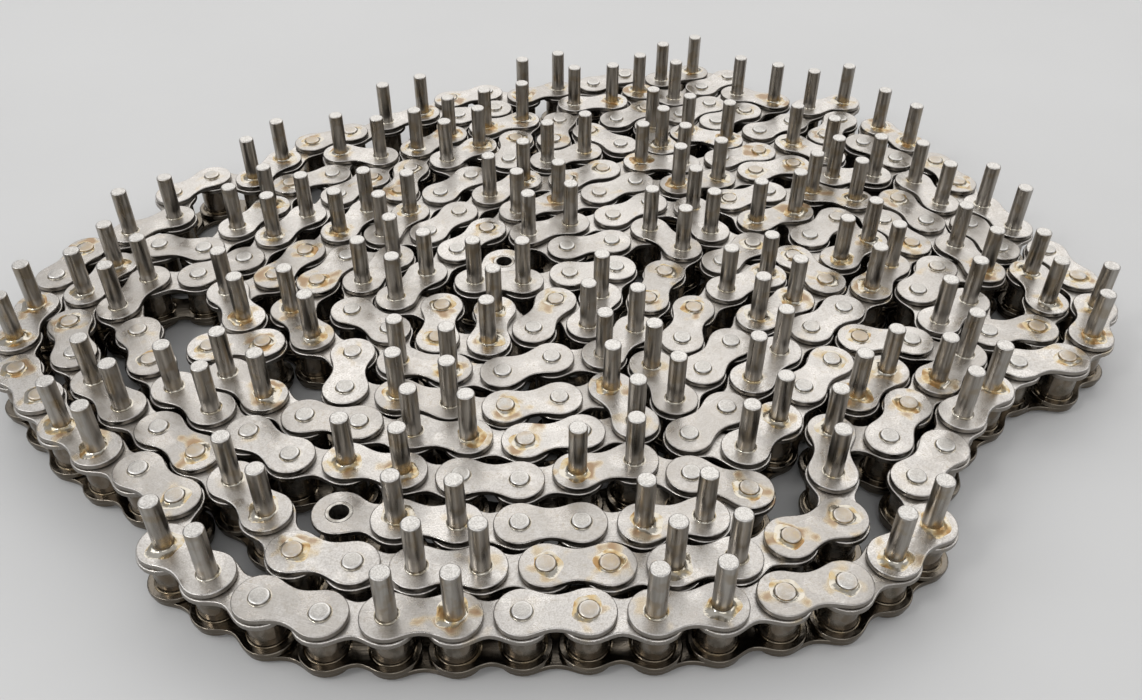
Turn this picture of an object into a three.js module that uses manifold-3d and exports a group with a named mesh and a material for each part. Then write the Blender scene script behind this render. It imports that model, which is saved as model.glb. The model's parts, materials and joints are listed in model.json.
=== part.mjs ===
// Roller chain for power transmission, 15.875 mm pitch, five metres long, lying flat on its side
// in an irregular wound coil. Every fourth link carries two extended pins, which stand up.
// Millimetres, +Z up, origin on the ground under the middle of the coil.
import * as THREE from 'three';
import { mergeVertices } from 'three/addons/utils/BufferGeometryUtils.js';
import Module from 'manifold-3d';

const wasm = await Module();
wasm.setup();

// Driving dimensions of the chain (a standard 5/8 inch chain).
const PITCH = 15.875;
const PLATE = 1.7;              // thickness of every link plate
const PLATE_GAP = 0.15;         // between an inner plate and the outer plate on it
const INNER_WIDTH = 9.7;        // between the two inner plates
const INNER_R = 7.35;           // half height of an inner plate, round its pin
const OUTER_R = 6.86;           // half height of an outer plate
const WAIST = 4.95;             // half height of any plate at its middle
const PIN_R = 2.54;
const BORE_R = 2.63;            // bush bore, a running fit on the pin
const BUSH_R = 3.6;
const ROLLER_BORE_R = 3.69;     // a running fit on the bush
const ROLLER_R = 5.08;
const ROLLER_LENGTH = 9.5;
const PIN_FOOT = 1.15;          // pin end below the lower outer plate
const RIVET_HEAD = 0.95;        // head of a plain pin above the upper outer plate
const EXTENSION = 16.15;        // extended pin above the upper outer plate
const HEAD_R = 2.65;           // riveted head, a little wider than its pin
const CHAMFER = 0.6;            // on the top of an extended pin
const PRESS_GAP = 0.3;          // left between pressed pieces, round pins, bushes and heads

// Heights of the plates, from the ground up.
const LOW_OUTER = PIN_FOOT;
const LOW_INNER = LOW_OUTER + PLATE + PLATE_GAP;
const HIGH_INNER = LOW_INNER + PLATE + INNER_WIDTH;
const HIGH_OUTER = HIGH_INNER + PLATE + PLATE_GAP;
const TOP = HIGH_OUTER + PLATE;

// The lie of the chain: the middle of each outer link in turn, as [x, y] in whole millimetres,
// from one free end to the other. At a tight fold a third number gives the link's heading in
// degrees. The inner links join one outer link to the next.
const FREE_ENDS = [[-58, -108], [-23, 2]];
const ROUTE = [
  // free end in the second row, to the right, and back one row further in
  [-36, -113], [-4, -114], [27, -112], [41, -99], [11, -93], [-20, -98], [-52, -95], [-82, -86],
  [-108, -68], [-129, -45], [-141, -18], [-116, -3], [-98, 22], [-79, 47],
  // loop behind the left side, and out again along the second row
  [-81, 70], [-97, 52], [-112, 26], [-132, 7, 170], [-154, -11], [-153, -41], [-134, -66],
  [-108, -84], [-83, -104], [-59, -124], [-28, -127], [3, -126], [35, -125], [65, -114],
  // right front, folding in and out of the middle
  [73, -87], [94, -75], [115, -51], [98, -39], [89, -59], [75, -55], [55, -80], [40, -76],
  [60, -51], [82, -28], [104, -6], [115, 20], [96, 44], [65, 43], [74, 30, 20], [89, 23, 40],
  [98, 10], [80, -2], [67, -24], [45, -47], [28, -59], [37, -32], [58, -10], [57, 7],
  [46, 28, 120], [20, 33], [-8, 19], [7, 12], [33, 16], [30, -12], [16, -40],
  // middle rows, to the left and back
  [-12, -52], [-42, -52], [-62, -32, 150], [-62, -5, 50], [-77, -5, -120], [-83, -33],
  [-65, -55], [-42, -68, -10], [-11, -66], [16, -69], [-3, -81], [-35, -82], [-66, -77],
  [-94, -62], [-101, -44], [-106, -24, 120], [-93, -2], [-76, 25], [-61, 52, 80],
  // back of the coil: folds to the right side and home along the outside
  [-54, 81, 40], [-39, 105], [-27, 96], [-22, 75], [-40, 72], [-42, 48], [-60, 22], [-43, 24],
  [-22, 47], [6, 57], [35, 66], [66, 72], [94, 77], [106, 94, 60], [106, 114], [82, 95],
  [54, 86], [66, 103], [78, 120], [51, 109], [34, 86], [14, 84, 140], [-1, 70], [-5, 90, 80],
  [10, 114], [25, 104], [36, 122], [62, 133], [46, 139, -150], [17, 135], [-13, 123],
  [-43, 119], [-67, 100], [-94, 83], [-114, 59], [-139, 47], [-146, 21],
  // outermost row, round the left side and the front to the right side
  [-166, -2], [-169, -34], [-158, -62], [-135, -84], [-108, -101], [-94, -126], [-65, -139],
  [-34, -142], [-2, -140], [30, -139], [61, -133], [88, -118], [99, -91], [118, -66],
  // right side folds and the last row in to the free end in the middle
  [143, -48, 10], [166, -29], [166, 2], [154, -11, -80], [139, -34], [123, -24, -140],
  [119, -8], [136, 5], [123, 34], [132, 47], [145, 18], [153, 31], [142, 61], [129, 89],
  [121, 76, -50], [107, 58], [78, 63], [48, 53], [18, 48], [-11, 34], [-34, 13], [-50, -14],
  [-40, -32, -90], [-25, -34, 90], [-8, -28], [8, -25], [8, -4], [-23, -11],
];

// Least distances in plan between joints, between a joint and a link's middle, and between
// two links' middles, so that neighbouring strands lie side by side.
const JOINT_TO_JOINT = 14.95;
const JOINT_TO_MIDDLE = 12.5;
const MIDDLE_TO_MIDDLE = 10.2;
const FREE_END_ROOM = 1.9;      // more room beside the two free ends, which can swing
const FREE_JOINTS = 2;          // joints at each end that have the more room

const JOINT_REACH = 24;         // starting distances within which places can come too near
const MIXED_REACH = 22;
const MIDDLE_REACH = 20;
const SAME_STRAND = 4;          // joints that follow each other on one strand

const AIM_STEPS = 60;
const SETTLE_STEPS = 320;
const PITCH_PASSES = 4;
const EVEN = 0.5;               // share of a move that each of two points makes
const FIRM = 0.6;               // the same between a joint and a link, to part them faster

// Moves two points along the line between them towards the distance wanted.
function pull(a, b, wanted, share) {
  const dx = b[0] - a[0];
  const dy = b[1] - a[1];
  const change = share * (1 - wanted / Math.hypot(dx, dy));
  a[0] += dx * change;
  a[1] += dy * change;
  b[0] -= dx * change;
  b[1] -= dy * change;
}

function middle(joints, link) {
  const [a, b] = [joints[link], joints[link + 1]];
  return [(a[0] + b[0]) / 2, (a[1] + b[1]) / 2];
}

// Places the two pins of each outer link half a pitch either side of its middle.
function placeOuterLinks(joints, headingOf) {
  ROUTE.forEach(([x, y, degrees], link) => {
    const heading = degrees === undefined ? headingOf(link) : THREE.MathUtils.degToRad(degrees);
    const dx = PITCH / 2 * Math.cos(heading);
    const dy = PITCH / 2 * Math.sin(heading);
    joints[2 * link + 1] = [x - dx, y - dy];
    joints[2 * link + 2] = [x + dx, y + dy];
  });
}

// Lists the pairs of places that start nearer than reach and don't belong to the same links.
function nearPairs(countA, placeA, countB, placeB, reach, apart) {
  const pairs = [];
  for (let i = 0; i < countA; i += 1) {
    for (let k = 0; k < countB; k += 1) {
      const [a, b] = [placeA(i), placeB(k)];
      if (apart(i, k) && Math.hypot(b[0] - a[0], b[1] - a[1]) < reach) {
        pairs.push([i, k]);
      }
    }
  }
  return pairs;
}

// Works out every joint of the chain in plan: exact pitch, and no strand on another.
function settle() {
  const stops = [FREE_ENDS[0], ...ROUTE, FREE_ENDS[1]];
  const joints = [[...FREE_ENDS[0]]];
  joints[2 * ROUTE.length + 1] = [...FREE_ENDS[1]];
  placeOuterLinks(joints, (link) => Math.atan2(
    stops[link + 2][1] - stops[link][1],
    stops[link + 2][0] - stops[link][0],
  ));
  const last = joints.length - 1;
  for (let step = 0; step < AIM_STEPS; step += 1) {
    for (let link = 0; link < last; link += 2) {
      pull(joints[link], joints[link + 1], PITCH, EVEN);
    }
    const before = joints.map((joint) => [...joint]);
    placeOuterLinks(joints, (link) => Math.atan2(
      before[2 * link + 2][1] - before[2 * link + 1][1],
      before[2 * link + 2][0] - before[2 * link + 1][0],
    ));
  }

  const joint = (i) => joints[i];
  const mid = (i) => middle(joints, i);
  const later = (i, k) => k > i + 1;
  const elsewhere = (i, k) => k > i + 1 || k < i - 2;
  const jointPairs = nearPairs(last + 1, joint, last + 1, joint, JOINT_REACH, later);
  const mixedPairs = nearPairs(last + 1, joint, last, mid, MIXED_REACH, elsewhere);
  const middlePairs = nearPairs(last, mid, last, mid, MIDDLE_REACH, later);
  const isFree = (i) => i < FREE_JOINTS || i > last - FREE_JOINTS;

  for (let step = 0; step < SETTLE_STEPS; step += 1) {
    for (let pass = 0; pass < PITCH_PASSES; pass += 1) {
      for (let link = 0; link < last; link += 1) {
        pull(joints[link], joints[link + 1], PITCH, EVEN);
      }
    }
    for (const [i, k] of jointPairs) {
      const strands = k > i + SAME_STRAND && (isFree(i) || isFree(k));
      const least = JOINT_TO_JOINT + (strands ? FREE_END_ROOM : 0);
      const [a, b] = [joints[i], joints[k]];
      if (Math.hypot(b[0] - a[0], b[1] - a[1]) < least) {
        pull(a, b, least, EVEN);
      }
    }
    for (const [i, k] of mixedPairs) {
      const strands = Math.abs(k - i) > SAME_STRAND && isFree(i);
      const least = JOINT_TO_MIDDLE + (strands ? FREE_END_ROOM : 0);
      const a = joints[i];
      const b = mid(k);
      const [bx, by] = b;
      if (Math.hypot(bx - a[0], by - a[1]) < least) {
        pull(a, b, least, FIRM);
        for (const end of [joints[k], joints[k + 1]]) {
          end[0] += FIRM * (b[0] - bx);
          end[1] += FIRM * (b[1] - by);
        }
      }
    }
    for (const [i, k] of middlePairs) {
      const [a, b] = [mid(i), mid(k)];
      if (Math.hypot(b[0] - a[0], b[1] - a[1]) < MIDDLE_TO_MIDDLE) {
        const [moveA, moveB] = [[...a], [...b]];
        pull(moveA, moveB, MIDDLE_TO_MIDDLE, EVEN);
        for (const [from, to, link] of [[a, moveA, i], [b, moveB, k]]) {
          for (const end of [joints[link], joints[link + 1]]) {
            end[0] += to[0] - from[0];
            end[1] += to[1] - from[1];
          }
        }
      }
    }
  }

  return joints;
}

const JOINTS = settle();

// Solid helpers: three.js shapes, joined and cut as closed solids.
const SAME_POINT = 1e-4;        // distance within which corners are one corner

function toSolid(geometry) {
  const bare = geometry.index ? geometry.toNonIndexed() : geometry.clone();
  bare.deleteAttribute('normal');
  bare.deleteAttribute('uv');
  const merged = mergeVertices(bare, SAME_POINT);
  const mesh = new wasm.Mesh({
    numProp: 3,
    vertProperties: Float32Array.from(merged.attributes.position.array),
    triVerts: Uint32Array.from(merged.index.array),
  });
  return new wasm.Manifold(mesh);
}

function toGeometry(solid) {
  const mesh = solid.getMesh();
  const geometry = new THREE.BufferGeometry();
  geometry.setAttribute('position', new THREE.BufferAttribute(mesh.vertProperties, 3));
  geometry.setIndex(new THREE.BufferAttribute(mesh.triVerts, 1));
  geometry.computeVertexNormals();
  return geometry;
}

// A solid turned about an upright axis, from its [radius, height] profile.
function turned(profile, sides) {
  const points = profile.map(([radius, z]) => new THREE.Vector2(radius, z));
  return new THREE.LatheGeometry(points, sides).rotateX(Math.PI / 2);
}

function rod(radius, z0, z1, sides) {
  return turned([[0, z0], [radius, z0], [radius, z1], [0, z1]], sides);
}

function tube(radius, bore, z0, z1, sides) {
  return turned([[bore, z0], [radius, z0], [radius, z1], [bore, z1], [bore, z0]], sides);
}

// The outline of a link plate: round ends about both pins, drawn in at the waist.
function plateShape(radius, { endAngle, endPoints, waistPoints, sides }, holeR = 0) {
  const side = [];
  for (let i = 0; i < endPoints; i += 1) {
    const angle = endAngle * (2 * i / (endPoints - 1) - 1);
    side.push([PITCH / 2 + radius * Math.cos(angle), radius * Math.sin(angle)]);
  }
  const [shoulderX, shoulderY] = side[endPoints - 1];
  for (let i = 1; i <= waistPoints; i += 1) {
    const t = 2 * i / (waistPoints + 1) - 1;
    const dip = 0.5 + 0.5 * Math.cos(Math.PI * t);
    side.push([-t * shoulderX, shoulderY + (WAIST - shoulderY) * dip]);
  }
  const shape = new THREE.Shape([
    ...side.map(([x, y]) => new THREE.Vector2(x, y)),
    ...side.map(([x, y]) => new THREE.Vector2(-x, -y)),
  ]);
  for (const x of holeR > 0 ? [-PITCH / 2, PITCH / 2] : []) {
    const points = [];
    for (let i = 0; i < sides; i += 1) {
      const angle = -2 * Math.PI * i / sides;
      points.push(new THREE.Vector2(x + holeR * Math.cos(angle), holeR * Math.sin(angle)));
    }
    shape.holes.push(new THREE.Path(points));
  }
  return shape;
}

function plate(shape, z0, z1) {
  const geometry = new THREE.ExtrudeGeometry(shape, { depth: z1 - z0, bevelEnabled: false });
  return geometry.translate(0, 0, z0);
}

// Puts a geometry drawn about a link's middle onto link number i of the chain.
function onLink(geometry, i) {
  const [a, b] = [JOINTS[i], JOINTS[i + 1]];
  geometry.rotateZ(Math.atan2(b[1] - a[1], b[0] - a[0]));
  return geometry.translate((a[0] + b[0]) / 2, (a[1] + b[1]) / 2, 0);
}

function onJoint(geometry, i) {
  return geometry.translate(JOINTS[i][0], JOINTS[i][1], 0);
}

// Materials: satin nickel-plated plates, darker hardened pins, oiled rollers.
const looks = {
  plate: { color: 0xb9b4a8, roughness: 0.42, metalness: 0.9 },
  pin: { color: 0x8f8c86, roughness: 0.35, metalness: 0.95 },
  bush: { color: 0x86817a, roughness: 0.4, metalness: 0.95 },
  roller: { color: 0x6f665c, roughness: 0.3, metalness: 0.95 },
};
const chain = new THREE.Group();

function add(name, geometry, look) {
  const mesh = new THREE.Mesh(geometry, new THREE.MeshStandardMaterial(looks[look]));
  mesh.name = name;
  chain.add(mesh);
}

// The detailed links at the free ends, piece by piece.
const FINE = { endAngle: 0.62 * Math.PI, endPoints: 7, waistPoints: 3, sides: 16 };

function innerLink(name, i) {
  const shape = plateShape(INNER_R, FINE, BUSH_R + PRESS_GAP);
  add(`${name}_plate_low`, onLink(plate(shape, LOW_INNER, LOW_INNER + PLATE), i), 'plate');
  add(`${name}_plate_high`, onLink(plate(shape, HIGH_INNER, HIGH_INNER + PLATE), i), 'plate');
  const z0 = LOW_INNER + PLATE + (INNER_WIDTH - ROLLER_LENGTH) / 2;
  [['a', i], ['b', i + 1]].forEach(([mark, joint]) => {
    const bush = tube(BUSH_R, BORE_R, LOW_INNER, HIGH_INNER + PLATE, FINE.sides);
    add(`${name}_bush_${mark}`, onJoint(bush, joint), 'bush');
    const roller = tube(ROLLER_R, ROLLER_BORE_R, z0, z0 + ROLLER_LENGTH, FINE.sides);
    add(`${name}_roller_${mark}`, onJoint(roller, joint), 'roller');
  });
}

function extendedPin() {
  const top = TOP + EXTENSION;
  const profile = [[0, 0], [PIN_R, 0], [PIN_R, top - CHAMFER], [PIN_R - CHAMFER, top], [0, top]];
  return turned(profile, FINE.sides);
}

function rivetedPin() {
  const under = TOP + PRESS_GAP;
  const top = TOP + RIVET_HEAD;
  const profile = [
    [0, 0], [PIN_R, 0], [PIN_R, under], [HEAD_R, under],
    [HEAD_R, (under + top) / 2], [PIN_R, top], [0, top],
  ];
  return turned(profile, FINE.sides);
}

function outerLink(name, i, makePin) {
  const shape = plateShape(OUTER_R, FINE, PIN_R + PRESS_GAP);
  add(`${name}_plate_low`, onLink(plate(shape, LOW_OUTER, LOW_OUTER + PLATE), i), 'plate');
  add(`${name}_plate_high`, onLink(plate(shape, HIGH_OUTER, TOP), i), 'plate');
  add(`${name}_pin_a`, onJoint(makePin(), i), 'pin');
  add(`${name}_pin_b`, onJoint(makePin(), i + 1), 'pin');
}

// The rest of the chain, in runs of links joined into one solid each. A run starts with an
// outer link, whose first pin stands in the bush of the run before, and ends with an inner
// link, whose last bush is bored for the next pin. Between them the links are one waisted
// ribbon: of full height inside the coil, and two decks with rollers in the outermost row.
const COARSE = { endAngle: 0.3 * Math.PI, endPoints: 2, waistPoints: 1, sides: 6 };
const RUN_PAIRS = 7;            // outer and inner links in one run
const RUNS = 22;
const OUTERMOST_RUNS = [15, 16, 17, 18];
const LAP = 0.05;               // by which joined pieces of a run reach into each other
const RUN_BORE_R = 3.3;
const RIBBON = 7.3;             // half width of the ribbon at a joint
const SHARP = THREE.MathUtils.degToRad(50);

function isExtended(i) {
  return i % 4 === 1;
}

function heading(i) {
  const [a, b] = [JOINTS[i], JOINTS[i + 1]];
  return Math.atan2(b[1] - a[1], b[0] - a[0]);
}

// How far the chain turns at joint i: positive to the left.
function turn(i) {
  const angle = heading(i) - heading(i - 1);
  return Math.atan2(Math.sin(angle), Math.cos(angle));
}

// One edge of the ribbon between two joints; side is 1 on the left and -1 on the right. Inside
// a sharp fold the edge keeps close to the pins.
function ribbonEdge(from, to, side) {
  const folds = (i) => turn(i) * side > SHARP;
  const points = [];
  for (let i = from; i <= to; i += 1) {
    const close = folds(i) || (i > from && folds(i - 1)) || (i < to && folds(i + 1));
    const width = side * (close ? WAIST : RIBBON);
    const across = heading(i - 1) + turn(i) / 2 + Math.PI / 2;
    const [x, y] = JOINTS[i];
    points.push([x + width * Math.cos(across), y + width * Math.sin(across)]);
    if (i < to && !folds(i) && !folds(i + 1)) {
      const [mx, my] = middle(JOINTS, i);
      const square = heading(i) + Math.PI / 2;
      points.push([mx + side * WAIST * Math.cos(square), my + side * WAIST * Math.sin(square)]);
    }
  }
  return points.map(([x, y]) => new THREE.Vector2(x, y));
}

function ribbon(from, to, z0, z1) {
  const outline = [...ribbonEdge(from, to, -1), ...ribbonEdge(from, to, 1).reverse()];
  return plate(new THREE.Shape(outline), z0, z1);
}

function runOfLinks(first, outermost) {
  const outer = plateShape(OUTER_R, COARSE);
  const inner = plateShape(INNER_R, COARSE);
  const last = first + 2 * RUN_PAIRS;
  const parts = [
    onLink(plate(outer, LOW_OUTER, LOW_OUTER + PLATE), first),
    onLink(plate(outer, HIGH_OUTER, TOP), first),
    onJoint(rod(PIN_R, 0, TOP, COARSE.sides), first),
    onLink(plate(inner, LOW_INNER, HIGH_INNER + PLATE), last - 1),
  ];
  if (outermost) {
    parts.push(ribbon(first + 1, last - 1, LOW_OUTER, LOW_INNER + PLATE));
    parts.push(ribbon(first + 1, last - 1, HIGH_INNER, TOP));
    for (let joint = first + 1; joint < last; joint += 1) {
      const roller = rod(ROLLER_R, LOW_INNER + PLATE - LAP, HIGH_INNER + LAP, COARSE.sides);
      parts.push(onJoint(roller, joint));
    }
  } else {
    parts.push(ribbon(first + 1, last - 1, LOW_OUTER, TOP));
  }
  for (let joint = first; joint < last; joint += 1) {
    if (isExtended(joint) || isExtended(joint - 1)) {
      parts.push(onJoint(rod(PIN_R, TOP - LAP, TOP + EXTENSION, COARSE.sides), joint));
    }
  }
  const joined = parts.map(toSolid).reduce((sum, part) => sum.add(part));
  const bore = toSolid(onJoint(rod(RUN_BORE_R, 0, TOP, COARSE.sides), last));
  return toGeometry(joined.subtract(bore));
}

const END_LINKS = 5;
innerLink('end_inner_link', 0);
outerLink('second_outer_link', 1, extendedPin);
innerLink('third_inner_link', 2);
outerLink('fourth_outer_link', 3, rivetedPin);
innerLink('fifth_inner_link', 4);
for (let run = 0; run < RUNS; run += 1) {
  const solid = runOfLinks(END_LINKS + 2 * RUN_PAIRS * run, OUTERMOST_RUNS.includes(run));
  add(`run_${String(run + 1).padStart(2, '0')}`, solid, 'plate');
}
const LAST_LINK = JOINTS.length - 2;
outerLink('last_outer_link', LAST_LINK - 1, extendedPin);
innerLink('last_inner_link', LAST_LINK);

// Puts the ground under the middle of the coil at the origin.
const centre = new THREE.Box3().setFromObject(chain).getCenter(new THREE.Vector3());
chain.position.set(-centre.x, -centre.y, 0);

export default chain;
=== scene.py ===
"""Looks for the wound roller chain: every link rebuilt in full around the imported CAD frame.

The chain's lie is worked out the same way as in the CAD part: a table of where each outer link
lies, then exact pitch and strands side by side. Lengths here are millimetres until a mesh is
made, in metres.
"""
import json
import math
import random
import re

import bpy
import numpy as np
from mathutils import Matrix, Vector
from mathutils.geometry import tessellate_polygon


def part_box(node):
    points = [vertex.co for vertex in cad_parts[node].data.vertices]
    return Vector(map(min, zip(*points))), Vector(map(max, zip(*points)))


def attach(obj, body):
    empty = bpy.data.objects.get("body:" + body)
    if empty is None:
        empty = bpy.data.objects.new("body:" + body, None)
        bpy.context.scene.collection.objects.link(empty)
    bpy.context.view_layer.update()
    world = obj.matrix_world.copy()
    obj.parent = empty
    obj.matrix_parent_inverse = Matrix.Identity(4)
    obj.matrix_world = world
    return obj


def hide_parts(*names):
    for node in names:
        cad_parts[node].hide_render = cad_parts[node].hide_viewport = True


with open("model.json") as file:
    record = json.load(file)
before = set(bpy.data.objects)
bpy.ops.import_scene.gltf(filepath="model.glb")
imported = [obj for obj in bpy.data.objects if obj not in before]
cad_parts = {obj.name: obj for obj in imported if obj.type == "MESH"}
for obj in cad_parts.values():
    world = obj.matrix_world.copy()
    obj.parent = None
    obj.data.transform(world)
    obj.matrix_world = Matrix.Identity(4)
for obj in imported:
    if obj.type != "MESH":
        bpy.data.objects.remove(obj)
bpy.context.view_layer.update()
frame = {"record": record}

MM = 0.001

# Sizes of the chain, as in the CAD part.
PITCH = 15.875
PLATE = 1.7
PLATE_GAP = 0.15
INNER_WIDTH = 9.7
INNER_R = 7.35
OUTER_R = 6.86
WAIST = 4.95
PIN_R = 2.54
BORE_R = 2.63
BUSH_R = 3.6
ROLLER_R = 5.08
ROLLER_BORE_R = 3.69
ROLLER_LENGTH = 9.5
PIN_FOOT = 1.15
RIVET_HEAD = 0.95
EXTENSION = 16.15
LOW_OUTER = PIN_FOOT
LOW_INNER = LOW_OUTER + PLATE + PLATE_GAP
HIGH_INNER = LOW_INNER + PLATE + INNER_WIDTH
HIGH_OUTER = HIGH_INNER + PLATE + PLATE_GAP
TOP = HIGH_OUTER + PLATE

# The middle of each outer link in turn as [x, y], with a heading in degrees at a tight fold.
FREE_ENDS = [[-58, -108], [-23, 2]]
ROUTE = [
    # free end in the second row, to the right, and back one row further in
    [-36, -113], [-4, -114], [27, -112], [41, -99], [11, -93], [-20, -98], [-52, -95], [-82, -86],
    [-108, -68], [-129, -45], [-141, -18], [-116, -3], [-98, 22], [-79, 47],
    # loop behind the left side, and out again along the second row
    [-81, 70], [-97, 52], [-112, 26], [-132, 7, 170], [-154, -11], [-153, -41], [-134, -66],
    [-108, -84], [-83, -104], [-59, -124], [-28, -127], [3, -126], [35, -125], [65, -114],
    # right front, folding in and out of the middle
    [73, -87], [94, -75], [115, -51], [98, -39], [89, -59], [75, -55], [55, -80], [40, -76],
    [60, -51], [82, -28], [104, -6], [115, 20], [96, 44], [65, 43], [74, 30, 20], [89, 23, 40],
    [98, 10], [80, -2], [67, -24], [45, -47], [28, -59], [37, -32], [58, -10], [57, 7],
    [46, 28, 120], [20, 33], [-8, 19], [7, 12], [33, 16], [30, -12], [16, -40],
    # middle rows, to the left and back
    [-12, -52], [-42, -52], [-62, -32, 150], [-62, -5, 50], [-77, -5, -120], [-83, -33],
    [-65, -55], [-42, -68, -10], [-11, -66], [16, -69], [-3, -81], [-35, -82], [-66, -77],
    [-94, -62], [-101, -44], [-106, -24, 120], [-93, -2], [-76, 25], [-61, 52, 80],
    # back of the coil: folds to the right side and home along the outside
    [-54, 81, 40], [-39, 105], [-27, 96], [-22, 75], [-40, 72], [-42, 48], [-60, 22], [-43, 24],
    [-22, 47], [6, 57], [35, 66], [66, 72], [94, 77], [106, 94, 60], [106, 114], [82, 95],
    [54, 86], [66, 103], [78, 120], [51, 109], [34, 86], [14, 84, 140], [-1, 70], [-5, 90, 80],
    [10, 114], [25, 104], [36, 122], [62, 133], [46, 139, -150], [17, 135], [-13, 123],
    [-43, 119], [-67, 100], [-94, 83], [-114, 59], [-139, 47], [-146, 21],
    # outermost row, round the left side and the front to the right side
    [-166, -2], [-169, -34], [-158, -62], [-135, -84], [-108, -101], [-94, -126], [-65, -139],
    [-34, -142], [-2, -140], [30, -139], [61, -133], [88, -118], [99, -91], [118, -66],
    # right side folds and the last row in to the free end in the middle
    [143, -48, 10], [166, -29], [166, 2], [154, -11, -80], [139, -34], [123, -24, -140],
    [119, -8], [136, 5], [123, 34], [132, 47], [145, 18], [153, 31], [142, 61], [129, 89],
    [121, 76, -50], [107, 58], [78, 63], [48, 53], [18, 48], [-11, 34], [-34, 13], [-50, -14],
    [-40, -32, -90], [-25, -34, 90], [-8, -28], [8, -25], [8, -4], [-23, -11],
]

# Least distances in plan, as in the CAD part.
JOINT_TO_JOINT = 14.95
JOINT_TO_MIDDLE = 12.5
MIDDLE_TO_MIDDLE = 10.2
FREE_END_ROOM = 1.9
FREE_JOINTS = 2
JOINT_REACH = 24              # pairs further apart than this at the start never meet
MIXED_REACH = 22
MIDDLE_REACH = 20
SAME_STRAND = 4               # joints this few links apart lie on one strand
AIM_STEPS = 60
SETTLE_STEPS = 320
PITCH_PASSES = 4
EVEN = 0.5                    # each of two points takes half of what is put right
FIRM = 0.6


# --- The lie of the chain -------------------------------------------------------------------

def pull(a, b, wanted, share):
    """Moves two points along the line between them towards the distance wanted."""
    dx = b[0] - a[0]
    dy = b[1] - a[1]
    change = share * (1 - wanted / math.hypot(dx, dy))
    a[0] += dx * change
    a[1] += dy * change
    b[0] -= dx * change
    b[1] -= dy * change


def middle(joints, link):
    a, b = joints[link], joints[link + 1]
    return [(a[0] + b[0]) / 2, (a[1] + b[1]) / 2]


def place_outer_links(joints, heading_of):
    for link, (x, y, *degrees) in enumerate(ROUTE):
        heading = math.radians(degrees[0]) if degrees else heading_of(link)
        dx = PITCH / 2 * math.cos(heading)
        dy = PITCH / 2 * math.sin(heading)
        joints[2 * link + 1] = [x - dx, y - dy]
        joints[2 * link + 2] = [x + dx, y + dy]


def near_pairs(places_a, places_b, reach, apart):
    return [
        (i, k)
        for i, a in enumerate(places_a)
        for k, b in enumerate(places_b)
        if apart(i, k) and math.hypot(b[0] - a[0], b[1] - a[1]) < reach
    ]


def settle():
    """Every joint of the chain in plan: exact pitch, and no strand on another."""
    stops = [FREE_ENDS[0], *ROUTE, FREE_ENDS[1]]
    joints = [[0.0, 0.0] for _ in range(2 * len(ROUTE) + 2)]
    joints[0] = [float(v) for v in FREE_ENDS[0]]
    joints[-1] = [float(v) for v in FREE_ENDS[1]]
    place_outer_links(joints, lambda link: math.atan2(
        stops[link + 2][1] - stops[link][1], stops[link + 2][0] - stops[link][0]))
    last = len(joints) - 1
    for _ in range(AIM_STEPS):
        for link in range(0, last, 2):
            pull(joints[link], joints[link + 1], PITCH, EVEN)
        before = [list(joint) for joint in joints]
        place_outer_links(joints, lambda link: math.atan2(
            before[2 * link + 2][1] - before[2 * link + 1][1],
            before[2 * link + 2][0] - before[2 * link + 1][0]))

    mids = [middle(joints, link) for link in range(last)]
    joint_pairs = near_pairs(joints, joints, JOINT_REACH, lambda i, k: k > i + 1)
    mixed_pairs = near_pairs(joints, mids, MIXED_REACH, lambda i, k: k > i + 1 or k < i - 2)
    middle_pairs = near_pairs(mids, mids, MIDDLE_REACH, lambda i, k: k > i + 1)

    def is_free(i):
        return i < FREE_JOINTS or i > last - FREE_JOINTS

    for _ in range(SETTLE_STEPS):
        for _ in range(PITCH_PASSES):
            for link in range(last):
                pull(joints[link], joints[link + 1], PITCH, EVEN)
        for i, k in joint_pairs:
            strands = k > i + SAME_STRAND and (is_free(i) or is_free(k))
            least = JOINT_TO_JOINT + (FREE_END_ROOM if strands else 0)
            a, b = joints[i], joints[k]
            if math.hypot(b[0] - a[0], b[1] - a[1]) < least:
                pull(a, b, least, EVEN)
        for i, k in mixed_pairs:
            strands = abs(k - i) > SAME_STRAND and is_free(i)
            least = JOINT_TO_MIDDLE + (FREE_END_ROOM if strands else 0)
            a = joints[i]
            b = middle(joints, k)
            bx, by = b
            if math.hypot(bx - a[0], by - a[1]) < least:
                pull(a, b, least, FIRM)
                for end in (joints[k], joints[k + 1]):
                    end[0] += FIRM * (b[0] - bx)
                    end[1] += FIRM * (b[1] - by)
        for i, k in middle_pairs:
            a, b = middle(joints, i), middle(joints, k)
            if math.hypot(b[0] - a[0], b[1] - a[1]) < MIDDLE_TO_MIDDLE:
                move_a, move_b = list(a), list(b)
                pull(move_a, move_b, MIDDLE_TO_MIDDLE, EVEN)
                for place, moved, link in ((a, move_a, i), (b, move_b, k)):
                    for end in (joints[link], joints[link + 1]):
                        end[0] += moved[0] - place[0]
                        end[1] += moved[1] - place[1]
    return np.array(joints)


def on_cad(joints):
    """Shifts the joints so that the first roller of the chain lies where the CAD part has it."""
    low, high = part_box("end_inner_link_roller_a")
    centre = (np.array(low[:2]) + np.array(high[:2])) / 2 / MM
    return joints + centre - joints[0]


JOINTS = on_cad(settle())


# --- Mesh templates -------------------------------------------------------------------------
# A template is a list of points, a list of faces, a normal for each point and a material
# number for each face. It is drawn about a link's middle or a joint's axis, in millimetres.

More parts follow.
